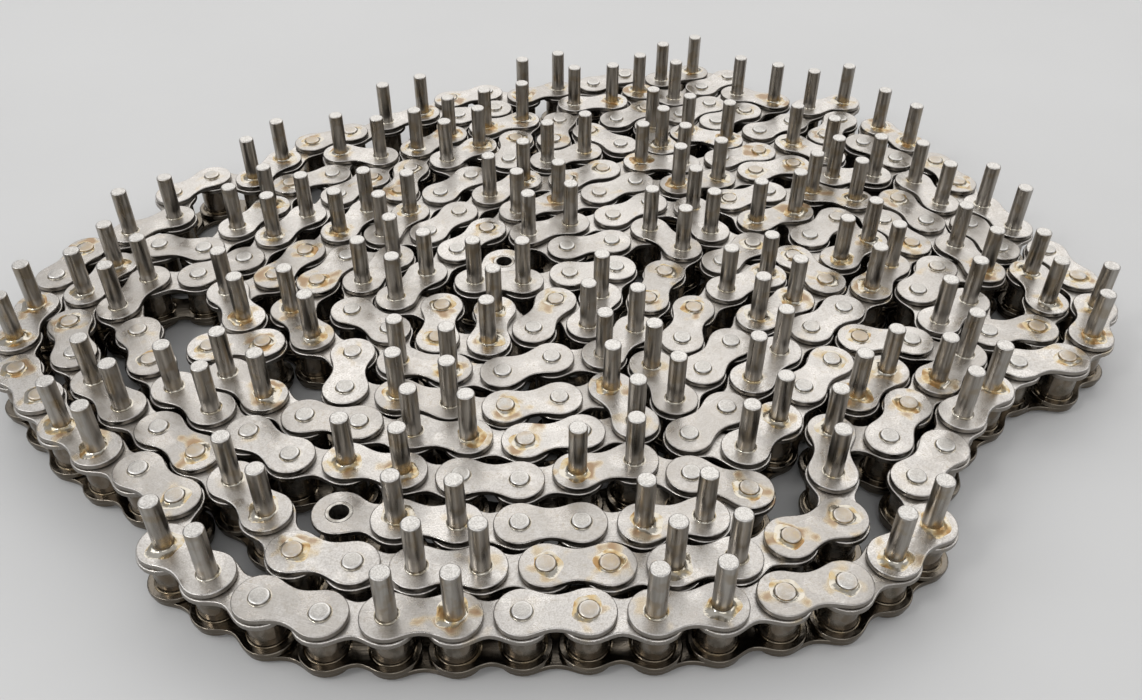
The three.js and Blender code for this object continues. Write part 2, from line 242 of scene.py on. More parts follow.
class Shape:
    def __init__(self):
        self.points = []
        self.normals = []
        self.faces = []
        self.looks = []

    def add(self, points, normals, faces, look=0):
        start = len(self.points)
        self.points.extend(tuple(p) for p in points)
        self.normals.extend(tuple(n) for n in normals)
        self.faces.extend(tuple(start + i for i in face) for face in faces)
        self.looks.extend([look] * len(faces))


def ring_faces(count, rings):
    """Quads between neighbouring closed rings of count points each."""
    faces = []
    for ring in range(rings - 1):
        for i in range(count):
            k = (i + 1) % count
            faces.append((ring * count + i, ring * count + k,
                          (ring + 1) * count + k, (ring + 1) * count + i))
    return faces


def rounded(half, radius, steps):
    """Half a rounded edge: (inset, height, tilt) from the side wall up to the flat face."""
    turns = [math.pi / 2 * i / steps for i in range(steps + 1)]
    return [(radius * (1 - math.cos(t)), half - radius * (1 - math.sin(t)), t) for t in turns]


def wall(shape, outline, outward, z, half, radius, steps):
    """The side wall of a plate along one closed outline, with both edges rounded."""
    edge = rounded(half, radius, steps)
    section = [(inset, -height, -tilt) for inset, height, tilt in reversed(edge)] + edge
    points, normals = [], []
    for inset, height, tilt in section:
        for (x, y), (nx, ny) in zip(outline, outward):
            points.append((x - inset * nx, y - inset * ny, z + height))
            normals.append((nx * math.cos(tilt), ny * math.cos(tilt), math.sin(tilt)))
    shape.add(points, normals, ring_faces(len(outline), len(section)))


def cap(shape, rims, z, up):
    """A flat face between an outline and the holes in it."""
    points = [(x, y, z) for rim in rims for x, y in rim]
    triangles = tessellate_polygon([[Vector((x, y, 0)) for x, y in rim] for rim in rims])
    faces = []
    for a, b, c in triangles:
        pa, pb, pc = points[a], points[b], points[c]
        area = (pb[0] - pa[0]) * (pc[1] - pa[1]) - (pb[1] - pa[1]) * (pc[0] - pa[0])
        faces.append((a, b, c) if (area > 0) == up else (a, c, b))
    shape.add(points, [(0, 0, 1 if up else -1)] * len(points), faces)


END_ANGLE = 0.62 * math.pi    # how far round its pin a plate's end is a true arc
END_STEPS = 18
WAIST_STEPS = 8


def plate_outline(radius):
    """Round ends about both pins, drawn in smoothly at the waist."""
    right = []
    for i in range(END_STEPS + 1):
        angle = END_ANGLE * (2 * i / END_STEPS - 1)
        right.append((PITCH / 2 + radius * math.cos(angle), radius * math.sin(angle)))
    shoulder_x, shoulder_y = right[-1]
    slope = -math.cos(END_ANGLE) / math.sin(END_ANGLE)
    for i in range(1, WAIST_STEPS):
        t = 2 * i / WAIST_STEPS - 1
        x = -t * shoulder_x
        s = abs(t)
        # a cubic from the waist to the shoulder, level at the waist and tangent at the shoulder
        rise = shoulder_y - WAIST
        end_slope = slope * shoulder_x
        y = WAIST + (3 * rise - end_slope) * s ** 2 + (end_slope - 2 * rise) * s ** 3
        right.append((x, y))
    return right + [(-x, -y) for x, y in right]


def outward_of(outline):
    normals = []
    count = len(outline)
    for i in range(count):
        (ax, ay), (bx, by) = outline[i - 1], outline[(i + 1) % count]
        length = math.hypot(bx - ax, by - ay)
        normals.append(((by - ay) / length, -(bx - ax) / length))
    return normals


def circle(x, radius, count, clockwise=False):
    sign = -1 if clockwise else 1
    turns = [sign * 2 * math.pi * i / count for i in range(count)]
    return [(x + radius * math.cos(t), radius * math.sin(t)) for t in turns]


HOLE_SIDES = 24
EDGE = 0.42                   # how far a plate's outer edges are rounded
EDGE_STEPS = 3
HOLE_EDGE = 0.12
PIN_HOLE_GAP = 0.05           # a dark line round a pressed pin, on the radius
BUSH_HOLE_GAP = 0.02


def plate_shape(radius, hole_r, z0):
    """A link plate with rounded edges and two holes, from z0 up."""
    shape = Shape()
    half = PLATE / 2
    z = z0 + half
    outline = plate_outline(radius)
    outward = outward_of(outline)
    wall(shape, outline, outward, z, half, EDGE, EDGE_STEPS)
    top = [(x - EDGE * nx, y - EDGE * ny) for (x, y), (nx, ny) in zip(outline, outward)]
    rims = [top]
    for x in (-PITCH / 2, PITCH / 2):
        hole = circle(x, hole_r, HOLE_SIDES, clockwise=True)
        inward = [((x - hx) / hole_r, -hy / hole_r) for hx, hy in hole]
        wall(shape, hole, inward, z, half, HOLE_EDGE, 1)
        rims.append(circle(x, hole_r + HOLE_EDGE, HOLE_SIDES, clockwise=True))
    cap(shape, rims, z + half, True)
    cap(shape, rims, z - half, False)
    return shape


def turned(profile, count, discs=True):
    """A turned piece about the upright axis, from its profile of (radius, height, tilt).

    The tilt is the angle of the surface normal above the horizontal.
    """
    shape = Shape()
    points, normals = [], []
    for radius, z, tilt in profile:
        for i in range(count):
            t = 2 * math.pi * i / count
            points.append((radius * math.cos(t), radius * math.sin(t), z))
            out = math.cos(tilt)
            normals.append((math.cos(t) * out, math.sin(t) * out, math.sin(tilt)))
    faces = ring_faces(count, len(profile))
    shape.add(points, normals, faces)
    if discs:
        close_disc(shape, profile[0], count, False)
        close_disc(shape, profile[-1], count, True)
    return shape


def close_disc(shape, rim, count, up):
    radius, z, _ = rim
    ring = circle(0, radius, count)
    face = tuple(range(count)) if up else tuple(reversed(range(count)))
    shape.add([(x, y, z) for x, y in ring], [(0, 0, 1 if up else -1)] * count, [face])


def round_over(radius, z, size, steps, up=True):
    """Profile points round the outer edge of a turned piece, ending on its flat face."""
    found = []
    for i in range(steps + 1):
        t = math.pi / 2 * i / steps
        r = radius - size * (1 - math.cos(t))
        h = size * (1 - math.sin(t))
        found.append((r, z - h if up else z + h, t if up else -t))
    return found if up else found[::-1]


OIL = 1                       # second material of a piece: the oil on it
OIL_STEPS = 4
OIL_SUNK = 0.05
LEAST_SPREAD = 0.2            # oil never draws back further than to this share of its reach

# How far oil reaches over the plate, how high it climbs and how unevenly it has spread.
PIN_OIL = (0.6, 0.5, 0.1)
PIN_POOL = (1.6, 0.6, 0.7)
HEAD_OIL = (0.35, 0.25, 0.1)
HEAD_POOL = (1.1, 0.28, 0.8)
ROLLER_OIL = (0.7, 0.35, 0.35)
ROLLER_OIL_GAP = 0.2

PIN_SIDES = 32
PIN_EDGE = 0.55               # rounding of an extended pin's top
PIN_FOOT_EDGE = 0.35
HEAD_R = 2.65                 # riveted head of a plain pin
HEAD_EDGE = 0.5
HEAD_CROWN = 0.05             # how far the head's middle is domed
BUSH_SIDES = 24
BUSH_EDGE = 0.12
BUSH_STAND = 0.04             # above and below the inner plates that hold it
ROLLER_SIDES = 30
ROLLER_EDGE = 0.45


def oil_ring(shape, radius, z, reach, height, uneven, x=0.0):
    """Oil lying on a plate round something upright: a closed ring, sunk a little into both."""
    # two points under the surface, then a concave fillet from its rim up to the pin
    profile = [(radius - OIL_SUNK, z - OIL_SUNK, -1.5), (radius + reach, z - OIL_SUNK, -0.5)]
    for i in range(OIL_STEPS + 1):
        t = math.pi / 2 * (1 - i / OIL_STEPS)
        tilt = math.atan2(reach * math.sin(t), height * math.cos(t))
        profile.append((radius + reach * (1 - math.cos(t)), z + height * (1 - math.sin(t)), tilt))
    profile += [(radius - OIL_SUNK, z + height, 1.5), profile[0]]
    ring = turned(profile, PIN_SIDES, discs=False)
    points = []
    for px, py, level in ring.points:
        a = math.atan2(py, px)
        r = math.hypot(px, py)
        swell = math.sin(a) + 0.5 * math.sin(2 * a + 1) + 0.3 * math.sin(5 * a)
        spread = max(LEAST_SPREAD, 1 + uneven * swell)
        wide = (radius + (r - radius) * spread) / r if r > radius else 1
        points.append((x + px * wide, py * wide, level))
    shape.add(points, ring.normals, ring.faces, OIL)


def outer_plate(z0):
    return plate_shape(OUTER_R, PIN_R + PIN_HOLE_GAP, z0)


def inner_plate(z0):
    return plate_shape(INNER_R, BUSH_R + BUSH_HOLE_GAP, z0)


def oily_inner_plate(z0):
    """The lower inner plate, with oil that has run down and lies round both rollers."""
    shape = inner_plate(z0)
    for x in (-PITCH / 2, PITCH / 2):
        oil_ring(shape, ROLLER_R + ROLLER_OIL_GAP, z0 + PLATE, *ROLLER_OIL, x)
    return shape


def pin_foot():
    """The lower end of every pin."""
    return round_over(PIN_R, 0, PIN_FOOT_EDGE, 3, up=False)


def extended_pin(oil):
    top = TOP + EXTENSION
    profile = pin_foot()
    profile += [(PIN_R, TOP, 0), (PIN_R, top - 1.5 * PIN_EDGE, 0)]
    profile += round_over(PIN_R, top, PIN_EDGE, 4)
    shape = turned(profile, PIN_SIDES)
    oil_ring(shape, PIN_R, TOP, *oil)
    return shape


def riveted_pin(oil):
    """A plain pin, whose top is pressed out into a low domed head on the plate."""
    top = TOP + RIVET_HEAD
    profile = pin_foot()
    # the head starts just inside the plate, so that no gap shows under it
    profile += [(PIN_R, TOP - 0.1, 0), (HEAD_R, TOP - 0.02, 0), (HEAD_R, TOP + 0.3, 0.1)]
    # its normals lean outward, which shades the flat top as a low dome
    for radius, z, tilt in round_over(HEAD_R, top - HEAD_CROWN, HEAD_EDGE, 4):
        profile.append((radius, z, 0.2 + 0.82 * tilt))
    profile += [(HEAD_R / 2, top - HEAD_CROWN / 4, 1.53)]
    shape = turned(profile, PIN_SIDES)
    oil_ring(shape, HEAD_R, TOP, *oil)
    return shape


def tube(radius, bore, z0, z1, edge, steps, sides):
    """A short tube with all four edges rounded."""
    profile = round_over(radius, z0, edge, steps, up=False) + round_over(radius, z1, edge, steps)
    for start, level, sign in ((math.pi / 2, z1, -1), (0, z0, 1)):
        for i in range(steps + 1):
            t = start + sign * math.pi / 2 * i / steps
            r = bore + edge * (1 - math.cos(t))
            profile.append((r, level + sign * edge * (1 - math.sin(t)), math.pi - sign * -t))
    profile.append(profile[0])
    return turned(profile, sides, discs=False)


def bush():
    z0 = LOW_INNER - BUSH_STAND
    z1 = HIGH_INNER + PLATE + BUSH_STAND
    return tube(BUSH_R, BORE_R, z0, z1, BUSH_EDGE, 2, BUSH_SIDES)


def roller():
    z0 = LOW_INNER + PLATE + (INNER_WIDTH - ROLLER_LENGTH) / 2
    z1 = z0 + ROLLER_LENGTH
    return tube(ROLLER_R, ROLLER_BORE_R, z0, z1, ROLLER_EDGE, 3, ROLLER_SIDES)


TEMPLATES = {
    "outer_low": outer_plate(LOW_OUTER),
    "outer_high": outer_plate(HIGH_OUTER),
    "inner_low": oily_inner_plate(LOW_INNER),
    "inner_high": inner_plate(HIGH_INNER),
    "extended": extended_pin(PIN_OIL),
    "extended_wet": extended_pin(PIN_POOL),
    "riveted": riveted_pin(HEAD_OIL),
    "riveted_wet": riveted_pin(HEAD_POOL),
    "bush": bush(),
    "roller": roller(),
}
TEMPLATES = {name: (np.array(s.points), np.array(s.normals), s.faces, s.looks)
             for name, s in TEMPLATES.items()}


# --- Placing and joining --------------------------------------------------------------------

def heading_of(link):
    dx, dy = JOINTS[link + 1] - JOINTS[link]
    return math.atan2(dy, dx)


EXTENDED_EVERY = 4            # one link in four carries extended pins


def is_extended(link):
    return link % EXTENDED_EVERY == 1


# What a draw is for. A copy number tells one plate, pin, bush or roller from the next.
HIGH_PLATE_COPY = 1
PIN_COPY = 2
DIRT = 3
TURNED_COPY = 4
PIN_TURN = 5
TURNED_TURN = 6
LOW_PLATE_COPY = 7
SEED_STEP = 7919

MOSTLY_CLEAN = 1.6            # the higher, the fewer dirty joints
WET = 0.45                    # a joint dirtier than this stands in a pool of oil


def seeded(key, purpose):
    """A number from 0 to 1, always the same for one joint or link and one purpose."""
    return random.Random(key * SEED_STEP + purpose).random()


def joint_dirt(joint):
    """How much oil and rust stain lies round a pin: most have little, some have plenty."""
    return seeded(joint, DIRT) ** MOSTLY_CLEAN


def joint_stain(joint, purpose):
    dirt = joint_dirt(joint)
    return (dirt, dirt, seeded(joint, purpose))


def link_stain(link, level):
    copy = HIGH_PLATE_COPY if level == "high" else LOW_PLATE_COPY
    return (joint_dirt(link), joint_dirt(link + 1), seeded(link, copy))


class Piece:
    """Copies of templates joined into one visible object.

    Each point carries where it is on its own link or pin (spot), and stain: how dirty the two
    pins of its link are, and a number that tells one copy from the next.
    """

    def __init__(self, name, slot, looks):
        self.name = name
        self.slot = slot
        self.looks = looks
        self.points, self.normals, self.spots, self.stains = [], [], [], []
        self.faces, self.face_looks = [], []
        self.count = 0

    def put(self, template, place, angle, stain):
        points, normals, faces, looks = TEMPLATES[template]
        c, s = math.cos(angle), math.sin(angle)
        turn = np.array([[c, -s, 0], [s, c, 0], [0, 0, 1]])
        placed = points @ turn.T + np.array([place[0], place[1], 0.0])
        self.points.append(placed * MM)
        self.normals.append(normals @ turn.T)
        self.spots.append(points)
        self.stains.append(np.tile(np.array(stain, float), (len(points), 1)))
        self.faces.extend(tuple(self.count + i for i in face) for face in faces)
        self.face_looks.extend(looks)
        self.count += len(points)

    def finish(self, body, nodes):
        mesh = bpy.data.meshes.new(self.name)
        mesh.from_pydata(np.concatenate(self.points).tolist(), [], self.faces)
        for look in self.looks:
            mesh.materials.append(look)
        mesh.polygons.foreach_set("material_index", self.face_looks)
        mesh.polygons.foreach_set("use_smooth", [True] * len(self.faces))
        for name, rows in (("spot", self.spots), ("stain", self.stains)):
            attribute = mesh.attributes.new(name, "FLOAT_VECTOR", "POINT")
            attribute.data.foreach_set("vector", np.concatenate(rows).astype(np.float32).ravel())
        mesh.normals_split_custom_set_from_vertices(np.concatenate(self.normals).tolist())
        mesh.update()
        thing = bpy.data.objects.new(self.name, mesh)
        bpy.context.scene.collection.objects.link(thing)
        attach(thing, body)
        if nodes:
            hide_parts(*nodes)


def put_plate(piece, link, level):
    place = (JOINTS[link] + JOINTS[link + 1]) / 2
    kind = "outer" if link % 2 else "inner"
    piece.put(f"{kind}_{level}", place, heading_of(link), link_stain(link, level))


def put_plates(piece, link):
    for level in ("low", "high"):
        put_plate(piece, link, level)


def put_pin(piece, link, joint):
    kind = "extended" if is_extended(link) else "riveted"
    if joint_dirt(joint) > WET:
        kind += "_wet"
    angle = 2 * math.pi * seeded(joint, PIN_TURN)
    piece.put(kind, JOINTS[joint], angle, joint_stain(joint, PIN_COPY))


def put_turned(piece, kind, joint):
    angle = 2 * math.pi * seeded(joint, TURNED_TURN)
    piece.put(kind, JOINTS[joint], angle, joint_stain(joint, TURNED_COPY))


# --- Materials ------------------------------------------------------------------------------

def rgb(red, green, blue):
    return (red, green, blue, 1.0)


class Look:
    """A material under construction: a short way to add nodes and join them."""

    def __init__(self, name):
        self.material = bpy.data.materials.new(name)
        self.material.use_nodes = True
        self.tree = self.material.node_tree
        self.shader = self.tree.nodes["Principled BSDF"]
        spot = self.add("ShaderNodeAttribute", output="Vector", attribute_name="spot")
        stain = self.add("ShaderNodeAttribute", output="Vector", attribute_name="stain")
        apart = self.add("ShaderNodeSeparateXYZ", {"Vector": stain})
        self.dirt_a, self.dirt_b, copy = (apart.node.outputs[axis] for axis in "XYZ")
        self.copy = copy
        self.spot = spot
        self.height = self.add("ShaderNodeSeparateXYZ", {"Vector": spot}, output="Z")
        # the place on the link, moved far away for each copy so that no two copies look alike
        self.place = self.vector("MULTIPLY_ADD", copy, (413, 271, 97), spot)

    def add(self, kind, values=(), output=0, **settings):
        node = self.tree.nodes.new(kind)
        for name, value in settings.items():
            setattr(node, name, value)
        for key, value in values.items() if isinstance(values, dict) else enumerate(values):
            self.feed(node.inputs[key], value)
        return node.outputs[output]

    def feed(self, socket, value):
        if isinstance(value, bpy.types.NodeSocket):
            self.tree.links.new(value, socket)
        else:
            socket.default_value = value

    def math(self, operation, *values):
        return self.add("ShaderNodeMath", values, operation=operation)

    def vector(self, operation, *values):
        return self.add("ShaderNodeVectorMath", values, operation=operation)

    def noise(self, place, scale, detail=3.0):
        values = {"Vector": place, "Scale": scale, "Detail": detail}
        return self.add("ShaderNodeTexNoise", values, output="Fac")

    def ramp(self, value, low, high, start=0.0, end=1.0):
        """Start where value is low, end where it is high, and smooth between."""
        values = {"Value": value, "From Min": low, "From Max": high, "To Min": start, "To Max": end}
        return self.add("ShaderNodeMapRange", values, interpolation_type="SMOOTHSTEP")

    def mix(self, share, a, b):
        """A colour between a and b. Sockets 6 and 7 are the node's two colours."""
        values = {0: share, 6: a, 7: b}
        return self.add("ShaderNodeMix", values, output=2, data_type="RGBA")

    def stretched(self, scale, turn=0.0):
        values = {"Vector": self.place, "Scale": scale, "Rotation": (0, 0, math.radians(turn))}
        return self.add("ShaderNodeMapping", values)

    def scratches(self, turn, scale):
        """Thin straight marks in one direction."""
        lines = self.noise(self.stretched((0.11, 5.0, 1.0), turn), scale, 2.0)
        return self.ramp(lines, 0.62, 0.72)

    def from_pin(self, side):
        """How far a point on a link is from its pin, in plan."""
        offset = self.vector("SUBTRACT", self.spot, (side * PITCH / 2, 0, 0))
        flat = self.vector("MULTIPLY", offset, (1, 1, 0))
        return self.add("ShaderNodeVectorMath", [flat], output="Value", operation="LENGTH")

    def upward(self):
        """How far a surface faces up: 1 on a level top, 0 on a side wall."""
        normal = self.add("ShaderNodeNewGeometry", output="Normal")
        return self.add("ShaderNodeSeparateXYZ", {"Vector": normal}, output="Z")

    def bump(self, height, strength, depth):
        values = {"Height": height, "Strength": strength, "Distance": depth * MM}
        self.feed(self.shader.inputs["Normal"], self.add("ShaderNodeBump", values))

    def finish(self, colour, roughness, metallic):
        self.feed(self.shader.inputs["Base Color"], colour)
        self.feed(self.shader.inputs["Roughness"], roughness)
        self.feed(self.shader.inputs["Metallic"], metallic)
        return self.material


PLATE_DARK = rgb(0.44, 0.415, 0.385)
PLATE_LIGHT = rgb(0.61, 0.585, 0.555)
PLATE_GRAIN = rgb(0.34, 0.31, 0.28)
SCRATCH = rgb(0.76, 0.74, 0.72)
DULL_FILM = rgb(0.33, 0.285, 0.22)
# painted shade on the plates' side walls
SIDE_WALL_SHADE = rgb(0.16, 0.14, 0.115)
# painted shade, with oily grime, on the low plates
GRIME_AND_SHADE = rgb(0.12, 0.10, 0.075)
# pin sides, darker than the tops as painted shade
PIN_SHADED_DARK = rgb(0.26, 0.24, 0.213)
PIN_SHADED_LIGHT = rgb(0.42, 0.396, 0.362)
PIN_FILM = rgb(0.27, 0.222, 0.155)
SAWN_DARK = rgb(0.47, 0.45, 0.42)
SAWN_LIGHT = rgb(0.66, 0.64, 0.61)
HEAD_DARK = rgb(0.43, 0.41, 0.38)
HEAD_LIGHT = rgb(0.55, 0.53, 0.50)
# painted highlight round the edge of a riveted head
HEAD_RIM_HIGHLIGHT = rgb(0.72, 0.70, 0.67)
CLEAR_OIL_LIGHT = rgb(0.50, 0.465, 0.40)
CLEAR_OIL_DARK = rgb(0.33, 0.29, 0.225)
RUSTY_OIL_LIGHT = rgb(0.53, 0.41, 0.22)
RUSTY_OIL_DARK = rgb(0.33, 0.19, 0.07)
# painted shade, with old dark oil, on oil low down
LOW_OIL_AND_SHADE = rgb(0.13, 0.10, 0.065)
OLD_OIL = rgb(0.15, 0.10, 0.055)
BUSH_DARK = rgb(0.30, 0.28, 0.25)
BUSH_LIGHT = rgb(0.60, 0.58, 0.54)
ROLLER_DARK = rgb(0.13, 0.115, 0.092)
ROLLER_LIGHT = rgb(0.25, 0.227, 0.195)
OCHRE = rgb(0.52, 0.37, 0.14)
RUST = rgb(0.30, 0.16, 0.045)


def plate_look():
    """Satin nickel plate: clouded, finely scratched, stained round some pins; its side walls darker
    as painted shade, and its low parts darker as painted shade with oily grime.
    """
    look = Look("plate_steel")
    cloud = look.noise(look.place, 0.20)
    grain = look.noise(look.place, 2.6, 5.0)
    patches = look.noise(look.place, 0.17, 1.0)
    ragged = look.noise(look.place, 0.9, 4.0)
    pools = look.ramp(look.noise(look.place, 0.13, 2.0), 0.48, 0.66, 0.0, 0.6)
    marks = look.math("MAXIMUM", look.scratches(33, 0.9), look.scratches(-62, 0.7))

    tone = look.math("MULTIPLY_ADD", look.copy, 0.35, cloud)
    colour = look.mix(look.ramp(tone, 0.4, 0.85), PLATE_DARK, PLATE_LIGHT)
    colour = look.mix(look.ramp(grain, 0.38, 0.66, 0.0, 0.5), colour, PLATE_GRAIN)
    colour = look.mix(look.math("MULTIPLY", marks, 0.3), colour, SCRATCH)
    dull = look.ramp(ragged, 0.54, 0.74, 0.0, 0.4)
    colour = look.mix(dull, colour, DULL_FILM)

    amounts = []
    for side, dirt in ((-1, look.dirt_a), (1, look.dirt_b)):
        wander = look.math("MULTIPLY_ADD", patches, 24.0, look.from_pin(side))
        wander = look.math("MULTIPLY_ADD", ragged, 2.5, wander)
        wander = look.math("MULTIPLY_ADD", dirt, -3.0, wander)
        near = look.ramp(wander, 10.8, 16.2, 1.0, 0.0)
        amounts.append(look.math("MULTIPLY", near, look.ramp(dirt, 0.12, 0.7)))
    stain = look.math("MAXIMUM", *amounts)
    rust = look.mix(look.ramp(stain, 0.45, 0.95), OCHRE, RUST)
    colour = look.mix(look.math("MULTIPLY", stain, 0.8), colour, rust)

    # painted shade: side walls are drawn darker than level faces, by how far they face up
    side_wall_shade = look.ramp(look.upward(), 0.25, 0.8, 0.72, 0.0)
    colour = look.mix(side_wall_shade, colour, SIDE_WALL_SHADE)
    # painted shade with oily grime: darker towards the bottom
    grime_and_shade = look.ramp(look.height, 4.0, 13.5, 0.9, 0.0)
    colour = look.mix(grime_and_shade, colour, GRIME_AND_SHADE)

    wet = look.math("MAXIMUM", look.math("MAXIMUM", stain, pools), grime_and_shade)
    rough = look.ramp(look.math("MULTIPLY_ADD", grain, 0.5, cloud), 0.5, 0.95, 0.27, 0.42)
    rough = look.math("MULTIPLY_ADD", look.math("MULTIPLY", wet, rough), -0.6, rough)
    metal = look.ramp(stain, 0.0, 1.0, 1.0, 0.4)
    relief = look.math("MULTIPLY_ADD", marks, -0.5, grain)
    relief = look.math("MULTIPLY_ADD", stain, 1.2, relief)
    look.bump(relief, 0.4, 0.05)
    return look.finish(colour, rough, metal)


def pin_look():
    """Ground pin: satin sides painted darker than the tops as painted shade, a bright sawn top on
    the long ones, a painted highlight as a bright rim on each head.
    """
    look = Look("pin_steel")
    streaks = look.noise(look.stretched((0.8, 0.8, 0.05)), 1.0, 2.0)
    grain = look.noise(look.place, 2.6, 4.0)
    patches = look.noise(look.place, 0.22, 2.0)
    # painted shade: the pin's sides are drawn darker than its tops; the streaks vary them at random
    side = look.mix(look.ramp(streaks, 0.3, 0.7), PIN_SHADED_DARK, PIN_SHADED_LIGHT)
    film = look.ramp(patches, 0.48, 0.66, 0.0, 0.6)
    side = look.mix(film, side, PIN_FILM)
    ends = look.mix(look.ramp(grain, 0.38, 0.62), SAWN_DARK, SAWN_LIGHT)
    heads = look.mix(look.ramp(grain, 0.38, 0.62), HEAD_DARK, HEAD_LIGHT)
    # painted highlight: a bright ring round the head's edge
    heads = look.mix(look.ramp(look.from_pin(0), 1.9, 2.3), heads, HEAD_RIM_HIGHLIGHT)
    top = look.mix(look.ramp(look.height, TOP + 2, TOP + 3), heads, ends)
    # the sides stay darker than the level tops: painted shade, by how far a surface faces up
    up = look.ramp(look.upward(), 0.45, 0.85)
    colour = look.mix(up, side, top)

    reach = look.math("MULTIPLY_ADD", patches, -14.0, look.height)
    foot = look.ramp(reach, TOP - 8, TOP - 3, 1.0, 0.0)
    stain = look.math("MULTIPLY", foot, look.ramp(look.dirt_a, 0.2, 0.8))
    stain = look.math("MULTIPLY", stain, look.ramp(up, 0.0, 1.0, 0.85, 0.5))
    colour = look.mix(stain, colour, look.mix(look.ramp(grain, 0.4, 0.6), OCHRE, RUST))

    rough = look.ramp(streaks, 0.3, 0.7, 0.27, 0.36)
    rough = look.math("MULTIPLY_ADD", up, 0.06, rough)
    metal = look.ramp(stain, 0.0, 1.0, 1.0, 0.5)
    look.bump(grain, 0.2, 0.02)
    return look.finish(colour, rough, metal)


def oil_look():
    """Wet oil on a plate: steel shows through it, with ochre patches where the joint is rusty."""
    look = Look("oil")
    patches = look.noise(look.place, 0.28, 2.0)
    amount = look.math("ADD", look.dirt_a, look.math("MULTIPLY_ADD", patches, 3.4, -1.95))
    clean = look.mix(look.ramp(patches, 0.4, 0.6), CLEAR_OIL_LIGHT, CLEAR_OIL_DARK)
    stained = look.mix(look.ramp(amount, 0.6, 1.1), RUSTY_OIL_LIGHT, RUSTY_OIL_DARK)
    colour = look.mix(look.ramp(amount, 0.25, 0.85), clean, stained)
    # painted shade with old dark oil: oil is darker towards the bottom
    low = look.ramp(look.height, 6.0, 12.0, 0.85, 0.0)
    colour = look.mix(low, colour, LOW_OIL_AND_SHADE)
    rough = look.ramp(patches, 0.3, 0.7, 0.05, 0.14)
    metal = look.ramp(amount, 0.3, 0.9, 1.0, 0.55)
    look.bump(look.noise(look.place, 1.2), 0.6, 0.08)
    return look.finish(colour, rough, metal)


def turned_look(name, dark, light, wetness):
    """Bushes and rollers: smooth hardened steel under patches of old oil."""
    look = Look(name)
    bands = look.noise(look.stretched((0.35, 0.35, 0.2)), 1.0, 2.0)
    patches = look.noise(look.place, 0.3)
    colour = look.mix(look.ramp(bands, 0.35, 0.65), dark, light)
    wet = look.ramp(patches, 0.4, 0.6, 0.1, wetness)
    low = look.ramp(look.height, 4.5, 9.0, 1.0, 0.0)
    oily = look.math("MAXIMUM", wet, look.math("MULTIPLY", low, look.ramp(look.dirt_a, 0.0, 0.5)))
    colour = look.mix(look.math("MULTIPLY", oily, 0.5), colour, OLD_OIL)
    rough = look.ramp(oily, 0.0, 1.0, 0.3, 0.08)
    metal = look.ramp(oily, 0.0, 1.0, 1.0, 0.8)
    look.bump(patches, 0.15, 0.06)
    return look.finish(colour, rough, metal)


OIL_LOOK = oil_look()
PLATE_LOOKS = [plate_look(), OIL_LOOK]
PIN_LOOKS = [pin_look(), OIL_LOOK]
BUSH_LOOK = turned_look("bush_steel", BUSH_DARK, BUSH_LIGHT, 0.4)
ROLLER_LOOK = turned_look("roller_steel", ROLLER_DARK, ROLLER_LIGHT, 0.9)


# --- The chain ------------------------------------------------------------------------------

def plates_piece(name):
    return Piece(name, "plate", PLATE_LOOKS)


def pins_piece(name):
    return Piece(name, "pin", PIN_LOOKS)


def bushes_piece(name):
    return Piece(name, "bush", [BUSH_LOOK])


def rollers_piece(name):
    return Piece(name, "roller", [ROLLER_LOOK])


RUN_COUNT = 22
RUN_LINKS = 14
FIRST_RUN_LINK = 5
RUNS = [f"run_{i + 1:02d}" for i in range(RUN_COUNT)]


def make_run(name, first):
    """A run of links: its plates, pins, bushes and rollers, each kind as one piece."""
    plates, pins = plates_piece(f"{name}_plates"), pins_piece(f"{name}_pins")
    bushes, rollers = bushes_piece(f"{name}_bushes"), rollers_piece(f"{name}_rollers")
    for link in range(first, first + RUN_LINKS):
        put_plates(plates, link)
        for joint in (link, link + 1):
            if link % 2:
                put_pin(pins, link, joint)
            else:
                put_turned(bushes, "bush", joint)
                put_turned(rollers, "roller", joint)
    plates.finish("coil", [name])
    for piece in (pins, bushes, rollers):
        piece.finish("coil", [])


for number, run in enumerate(RUNS):
    make_run(run, FIRST_RUN_LINK + number * RUN_LINKS)


# The links at the free ends, piece by piece, each on the body that its CAD node rides on.
END_LINKS = {
    "end_inner_link": 0,
    "second_outer_link": 1,
    "third_inner_link": 2,
    "fourth_outer_link": 3,
    "fifth_inner_link": 4,
    "last_outer_link": len(JOINTS) - 3,
    "last_inner_link": len(JOINTS) - 2,
}


def make_end_piece(node, body):
    """One plate, pin, bush or roller in the place of its CAD node."""
    link_name, kind, mark = re.fullmatch(r"(\w+_link)_(plate|pin|bush|roller)_(\w+)", node).groups()
    link = END_LINKS[link_name]
    joint = link if mark == "a" else link + 1
    if kind == "plate":
        piece = plates_piece(f"{node}_fine")
        put_plate(piece, link, mark)
    elif kind == "pin":
        piece = pins_piece(f"{node}_fine")
        put_pin(piece, link, joint)
    else:
        piece = bushes_piece(f"{node}_fine") if kind == "bush" else rollers_piece(f"{node}_fine")
        put_turned(piece, kind, joint)
    piece.finish(body, [node])


for body, nodes in frame["record"]["behaviour"]["bodies"].items():
    for node in nodes:
        if node not in RUNS:
            make_end_piece(node, body)


# --- Floor, light and camera ----------------------------------------------------------------

# From here on, lengths are metres and powers are watts.
FLOOR_REACH = 12.0
FLOOR_NEAR, FLOOR_FAR = 0.9, 5.0
FLOOR_DARK = rgb(0.58, 0.577, 0.57)
FLOOR_LIGHT = rgb(0.63, 0.627, 0.62)
# painted light: the far floor drawn paler where the softboxes light it less
FLOOR_AWAY_PAINTED_LIGHT = rgb(0.93, 0.93, 0.93)

